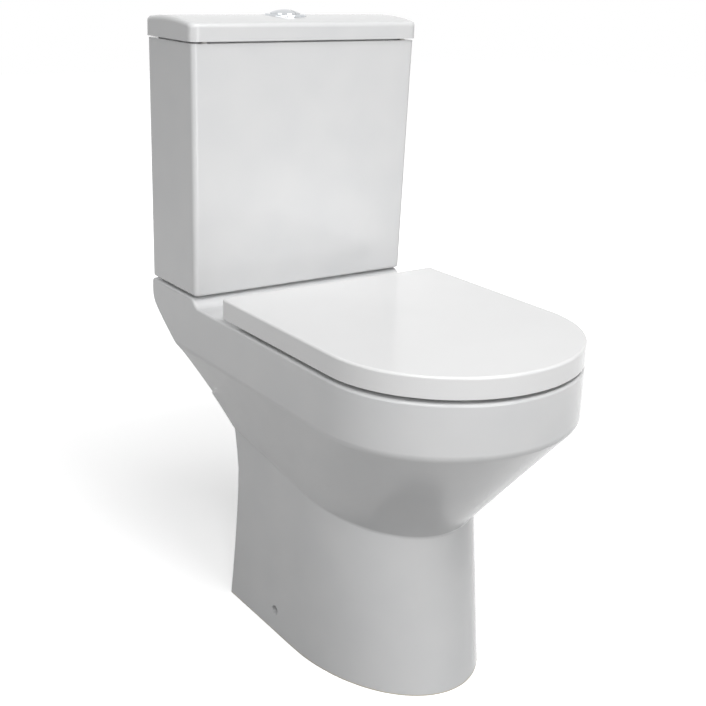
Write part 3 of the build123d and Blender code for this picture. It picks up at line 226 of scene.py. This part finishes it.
def pressedThermoset(settings):
    material, tree = newMaterial("pressedUreaThermoset")
    place = ownPlace(tree)
    flow = noise(tree, place, settings["flowSize"], 1.0)
    buff = noise(tree, stretched(tree, place, settings["buffStretch"]), settings["buffSize"], 3.0)
    shader = addNode(tree, "ShaderNodeBsdfPrincipled", {"IOR": settings["ior"]},
                     {"Base Color": blend(tree, flow, settings["colour"], settings["deepColour"]),
                      "Roughness": unevenRoughness(tree, buff, settings),
                      "Normal": bump(tree, buff, settings["buffRelief"])})
    finishMaterial(tree, shader)
    return material


# Soft clear white elastomer, injection moulded: milky, a little see-through at its edges and
# dull, with dust held on its skin.
bufferElastomer = {
    "colour": "#dcdcd8",
    "dustColour": "#cfcdc6",
    "ior": 1.45,
    "roughness": 0.5,
    "depth": 1.5,  # mm that light travels inside it
    "milkiness": 0.4,
    "inside": (1.0, 0.95, 0.85),  # red, green and blue travel in shares of the depth
    "dustSize": 1.2,
    "skinSize": 0.4,
    "skinRelief": (0.4, 0.01),
}


def milkyElastomer(settings):
    material, tree = newMaterial("milkyElastomer")
    place = ownPlace(tree)
    dust = noise(tree, place, settings["dustSize"], 3.0)
    skin = noise(tree, place, settings["skinSize"], 2.0)
    shader = addNode(tree, "ShaderNodeBsdfPrincipled",
                     {"IOR": settings["ior"], "Roughness": settings["roughness"],
                      "Subsurface Weight": settings["milkiness"],
                      "Subsurface Scale": settings["depth"] * mm,
                      "Subsurface Radius": settings["inside"]},
                     {"Base Color": blend(tree, dust, settings["colour"], settings["dustColour"]),
                      "Normal": bump(tree, skin, settings["skinRelief"])})
    finishMaterial(tree, shader)
    return material


# Bright chrome plated on moulded ABS: a mirror that shows the room, with dried water spots and
# hair fine wiping marks that only soften the glints.
chromePlate = {
    "colour": "#d3d6d9",
    "spotColour": "#bcbfc2",
    "roughness": 0.05,
    "spread": (2.2, 1),  # on a spot, beside it
    "spotSize": 2.5,  # mm between dried drops
    "spotEdge": (0.12, 0.2),  # the spot's rim, in shares of that
    "wipeSize": 0.25,  # mm between wiping marks, drawn coarser than the real ones
    "wipeStretch": (1.0, 0.08, 1.0),
    "wipeTurn": 0.5,
    "wipeRelief": (0.3, 0.0008),
}


def platedChrome(settings):
    material, tree = newMaterial("brightChromePlate")
    place = ownPlace(tree)
    clean = remap(tree, cells(tree, place, settings["spotSize"]), (0, 1), settings["spotEdge"])
    wipe = noise(tree, stretched(tree, place, settings["wipeStretch"], settings["wipeTurn"]),
                 settings["wipeSize"], 2.0)
    shader = addNode(tree, "ShaderNodeBsdfPrincipled", {"Metallic": 1.0},
                     {"Base Color": blend(tree, clean, settings["spotColour"], settings["colour"]),
                      "Roughness": unevenRoughness(tree, clean, settings),
                      "Normal": bump(tree, wipe, settings["wipeRelief"])})
    finishMaterial(tree, shader)
    return material


# Stainless steel, cold drawn and turned: grey metal with fine tool lines round it that stretch
# each glint, and darker where oil and handling stay.
stainlessSteel = {
    "colour": "#a9aaab",
    "stainColour": "#8d8e8f",
    "roughness": 0.28,
    "spread": (0.8, 1.3),
    "lineSize": 0.3,  # mm between tool lines, drawn coarser than the real ones
    "lineStretch": (0.1, 0.1, 1.0),
    "stainSize": 6,
    "lineRelief": (0.4, 0.004),
}


def turnedSteel(settings):
    material, tree = newMaterial("turnedStainlessSteel")
    place = ownPlace(tree)
    lines = noise(tree, stretched(tree, place, settings["lineStretch"]), settings["lineSize"], 2.0)
    stain = noise(tree, place, settings["stainSize"], 3.0)
    shader = addNode(tree, "ShaderNodeBsdfPrincipled", {"Metallic": 1.0},
                     {"Base Color": blend(tree, stain, settings["colour"], settings["stainColour"]),
                      "Roughness": unevenRoughness(tree, lines, settings),
                      "Normal": bump(tree, lines, settings["lineRelief"])})
    finishMaterial(tree, shader)
    return material


# Black sealing rubber, compression moulded: matt and slightly grey from talc and bloom.
sealRubber = {
    "colour": "#1b1b1c",
    "bloomColour": "#3a3a39",
    "ior": 1.5,
    "roughness": 0.7,
    "bloomSize": 5,
    "grainSize": 0.6,
    "grainRelief": (0.5, 0.02),
}


def mouldedRubber(settings):
    material, tree = newMaterial("mouldedBlackRubber")
    place = ownPlace(tree)
    bloom = noise(tree, place, settings["bloomSize"], 4.0)
    grain = noise(tree, place, settings["grainSize"], 2.0)
    shader = addNode(tree, "ShaderNodeBsdfPrincipled",
                     {"IOR": settings["ior"], "Roughness": settings["roughness"]},
                     {"Base Color": blend(tree, bloom, settings["colour"], settings["bloomColour"]),
                      "Normal": bump(tree, grain, settings["grainRelief"])})
    finishMaterial(tree, shader)
    return material


# Injection moulded polypropylene and acetal: satin, with the fine spark worn grain of the mould
# and slow flow marks. The same recipe makes the white and the grey pieces.
whitePlastic = {
    "name": "mouldedWhitePolypropylene",
    "colour": "#dedfda",
    "flowColour": "#d4d5d0",
    "ior": 1.49,
    "roughness": 0.42,
    "spread": (0.85, 1.15),
    "flowSize": 14,
    "flowSwirl": 1.5,
    "grainSize": 0.5,  # mm, drawn coarser than the real grain
    "grainRelief": (0.4, 0.012),
}
greyPlastic = {
    **whitePlastic,
    "name": "mouldedGreyAcetal",
    "colour": "#8f959b",
    "flowColour": "#858b91",
    "roughness": 0.36,
    "flowSize": 12,
    "grainRelief": (0.4, 0.010),
}


def mouldedPlastic(settings):
    material, tree = newMaterial(settings["name"])
    place = ownPlace(tree)
    flow = noise(tree, place, settings["flowSize"], 2.0, {"Distortion": settings["flowSwirl"]})
    grain = noise(tree, place, settings["grainSize"], 2.0)
    shader = addNode(tree, "ShaderNodeBsdfPrincipled", {"IOR": settings["ior"]},
                     {"Base Color": blend(tree, flow, settings["colour"], settings["flowColour"]),
                      "Roughness": unevenRoughness(tree, flow, settings),
                      "Normal": bump(tree, grain, settings["grainRelief"])})
    finishMaterial(tree, shader)
    return material


finishes = {
    "vitreous_china": glazedChina(china),
    "seat_thermoset": pressedThermoset(seatThermoset),
    "seat_buffer": milkyElastomer(bufferElastomer),
    "chrome_plate": platedChrome(chromePlate),
    "steel": turnedSteel(stainlessSteel),
    "black_rubber": mouldedRubber(sealRubber),
    "white_plastic": mouldedPlastic(whitePlastic),
    "grey_plastic": mouldedPlastic(greyPlastic),
}
for subpart in frame["record"]["subparts"]:
    mesh = nodes[subpart["node"]].data
    mesh.materials.clear()
    mesh.materials.append(finishes[subpart["material_slot"]])
print("materials assigned:", len(finishes))

# Rear edge of the pan's skirt. The cast one runs down in one easy S curve, so the pan's china is
# drawn again with that edge faired: only the edge of its side walls moves, by up to 30 mm.
rearSkirt = {
    "wallBack": 300.2,  # mm from the middle to the wall
    # height: depth of the edge as built, depth of the faired edge, all mm from the wall
    "edge": (
        (352, 90.5, 89), (340, 101, 97.5), (330, 109.4, 104), (318, 117.3, 112),
        (307, 125.1, 119.5), (303.5, 128, 122), (303, 159, 122.4), (299, 159, 124.8),
        (289, 157.2, 131), (278, 158, 136), (266, 158.6, 141), (254, 159, 145),
        (240, 159.4, 149.5), (229, 159.6, 152.5), (215, 160, 156), (200, 160.2, 159),
        (186, 160.4, 160),
    ),
    "edgeSlack": 2,  # mm in front of the edge as built that still count as the edge
    "wallReach": 100,  # mm from the middle, inside which nothing moves
    "waist": (230.5, 0.1584, 117.75),  # height at the middle, rise per mm, half width
    "crease": (365, 173.5),  # height, half width
}


def between(rows, height, column):
    for upper, lower in zip(rows, rows[1:]):
        if lower[0] <= height <= upper[0]:
            share = (height - lower[0]) / (upper[0] - lower[0])
            return lower[column] + share * (upper[column] - lower[column])
    return None


def halfWidth(settings, across, height):
    waistMiddle, rise, waistHalf = settings["waist"]
    creaseHeight, creaseHalf = settings["crease"]
    waistHeight = waistMiddle + rise * across
    share = max(0, (height - waistHeight) / (creaseHeight - waistHeight))
    return waistHalf + share * (creaseHalf - waistHalf)


def fairRearSkirt(settings):
    mesh = nodes["pan"].data.copy()
    mesh.name = "panChina"
    piece = addObject("panChina", mesh)
    moved = 0
    for point in mesh.vertices:
        x, y, height = (value / mm for value in point.co)
        asBuilt = between(settings["edge"], height, 1)
        if asBuilt is None or abs(x) < settings["wallReach"]:
            continue
        if settings["wallBack"] - y > asBuilt + settings["edgeSlack"]:
            continue
        newY = settings["wallBack"] - between(settings["edge"], height, 2)
        grow = halfWidth(settings, newY, height) - halfWidth(settings, y, height)
        point.co.x = (x + math.copysign(grow, x)) * mm
        point.co.y = newY * mm
        moved += 1
    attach(piece, "suite")
    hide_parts("pan")
    return moved


print("rear skirt faired, points moved:", fairRearSkirt(rearSkirt))

# Return springs: on the suite each is pressed down between its button and the lid as the button
# goes in; here each is copied into a piece of its own that rides with the cistern lid and stays
# uncompressed.
springs = {
    "spring_full": {"piece": "springFullCoil", "joint": "button_full_press", "travel": 6.0},
    "spring_half": {"piece": "springHalfCoil", "joint": "button_half_press", "travel": 6.0},
}


def coilSpring(node, settings):
    mesh = nodes[node].data.copy()
    piece = addObject(settings["piece"], mesh)
    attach(piece, "cistern_lid")
    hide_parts(node)
    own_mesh(piece)


for springNode, springSettings in springs.items():
    coilSpring(springNode, springSettings)

# Floor: a pale satin sheet. Seen directly or in a mirror it is lifted to the white of the
# background, and it keeps the shadow of the suite.
floor = {
    "colour": "#787878",  # what the floor throws back on the suite
    "seenColour": "#ffffff",
    "lift": 0.45,  # light added where the floor is seen, so that it meets the white behind it
    "fade": (0.8, 1.8),  # metres out over which it goes fully white
    "size": 14.0,  # metres
    "speckSize": 4,
    "roughness": (0.85, 0.95),
}


def paleFloor(settings):
    half = settings["size"] / 2
    mesh = bpy.data.meshes.new("floor")
    mesh.from_pydata([(-half, -half, 0), (half, -half, 0), (half, half, 0), (-half, half, 0)], [],
                     [(0, 1, 2, 3)])
    sheet = addObject("floor", mesh)
    material, tree = newMaterial("paleFloorSheet")
    place = ownPlace(tree)
    speck = noise(tree, place, settings["speckSize"], 2.0)
    seen = seenOrMirrored(tree)
    diffuse = addNode(tree, "ShaderNodeBsdfDiffuse",
                      links={"Color": blend(tree, seen, settings["colour"], settings["seenColour"]),
                             "Roughness": remap(tree, speck, settings["roughness"])})
    away = addNode(tree, "ShaderNodeVectorMath", {"operation": "LENGTH"}, {0: place})
    fade = remap(tree, away.outputs["Value"], (settings["lift"], 1), settings["fade"])
    lift = addNode(tree, "ShaderNodeMath", {"operation": "MULTIPLY"}, {0: seen, 1: fade})
    glow = addNode(tree, "ShaderNodeEmission", links={"Strength": lift.outputs[0]})
    both = addNode(tree, "ShaderNodeAddShader", links={0: diffuse.outputs[0], 1: glow.outputs[0]})
    finishMaterial(tree, both)
    mesh.materials.append(material)


paleFloor(floor)
print("floor laid")

# Camera, as fitted to the photograph (706 x 706, square pixels).
camera = {
    "place": (-0.88181, -1.15118, 0.89207),
    "turn": -34.061,  # degrees from looking along +Y
    "down": 15.352,
    "roll": 1.757,
    "focalPixels": 1163.9,
    "centre": (309.96, 274.93),
    "imageSide": 706,
    "sensor": 36,  # mm
    "nearest": 0.05,  # metres
}


def placeCamera(settings):
    turn = math.radians(settings["turn"])
    down = math.radians(settings["down"])
    roll = math.radians(settings["roll"])
    ahead = Vector((-math.sin(turn) * math.cos(down), math.cos(turn) * math.cos(down),
                    -math.sin(down)))
    side = Vector((math.cos(turn), math.sin(turn), 0))
    up = side.cross(ahead)
    rolledSide = math.cos(roll) * side + math.sin(roll) * up
    rolledUp = math.cos(roll) * up - math.sin(roll) * side
    data = bpy.data.cameras.new("photoCamera")
    body = addObject("photoCamera", data)
    axes = Matrix((rolledSide, rolledUp, -ahead)).transposed().to_4x4()
    body.matrix_world = Matrix.Translation(settings["place"]) @ axes
    pixels = settings["imageSide"]
    data.sensor_fit = "HORIZONTAL"
    data.sensor_width = settings["sensor"]
    data.lens = settings["focalPixels"] / pixels * settings["sensor"]
    data.shift_x = (pixels / 2 - settings["centre"][0]) / pixels
    data.shift_y = (settings["centre"][1] - pixels / 2) / pixels
    data.clip_start = settings["nearest"]
    bpy.context.scene.camera = body


placeCamera(camera)
print("camera placed")

# Lights: soft boxes above, high at the left and low in front, with two weak ones, in a room
# that is white where it is seen or mirrored and gives almost no light of its own.
lights = {
    "top": {"place": (0.3, -0.9, 2.9), "aim": (0, -0.1, 0.4), "size": 1.6, "power": 35},
    "leftHigh": {"place": (-1.6, -1.8, 2.6), "aim": (0, 0, 0.45), "size": 1.6, "power": 35.5},
    "frontHigh": {"place": (0.2, -2.4, 2.6), "aim": (0, 0, 0.45), "size": 1.6, "power": 8},
    "frontLow": {"place": (0.2, -2.6, 0.6), "aim": (0, 0, 0.3), "size": 1.6, "power": 20},
    "left": {"place": (-2.6, -0.6, 1.2), "aim": (0, 0, 0.5), "size": 1.6, "power": 13},
}


def addLight(name, settings):
    data = bpy.data.lights.new(name, "AREA")
    data.shape = "SQUARE"
    data.size = settings["size"]
    data.energy = settings["power"]
    lamp = addObject(name, data)
    lamp.location = settings["place"]
    heading = Vector(settings["aim"]) - Vector(settings["place"])
    lamp.rotation_euler = heading.to_track_quat("-Z", "Y").to_euler()


for lightName, lightSettings in lights.items():
    addLight(lightName, lightSettings)
print("lights placed:", len(lights))

surround = {"ambient": 0.02, "colour": "#ffffff"}


def whiteSurround(settings):
    world = bpy.data.worlds.new("surround")
    world.use_nodes = True
    tree = world.node_tree
    tree.nodes.clear()
    strength = remap(tree, seenOrMirrored(tree), (settings["ambient"], 1))
    back = addNode(tree, "ShaderNodeBackground", {"Color": toLinear(settings["colour"])},
                   {"Strength": strength})
    addNode(tree, "ShaderNodeOutputWorld", links={"Surface": back.outputs[0]})
    bpy.context.scene.world = world


whiteSurround(surround)
bpy.context.scene.view_settings.view_transform = "Standard"
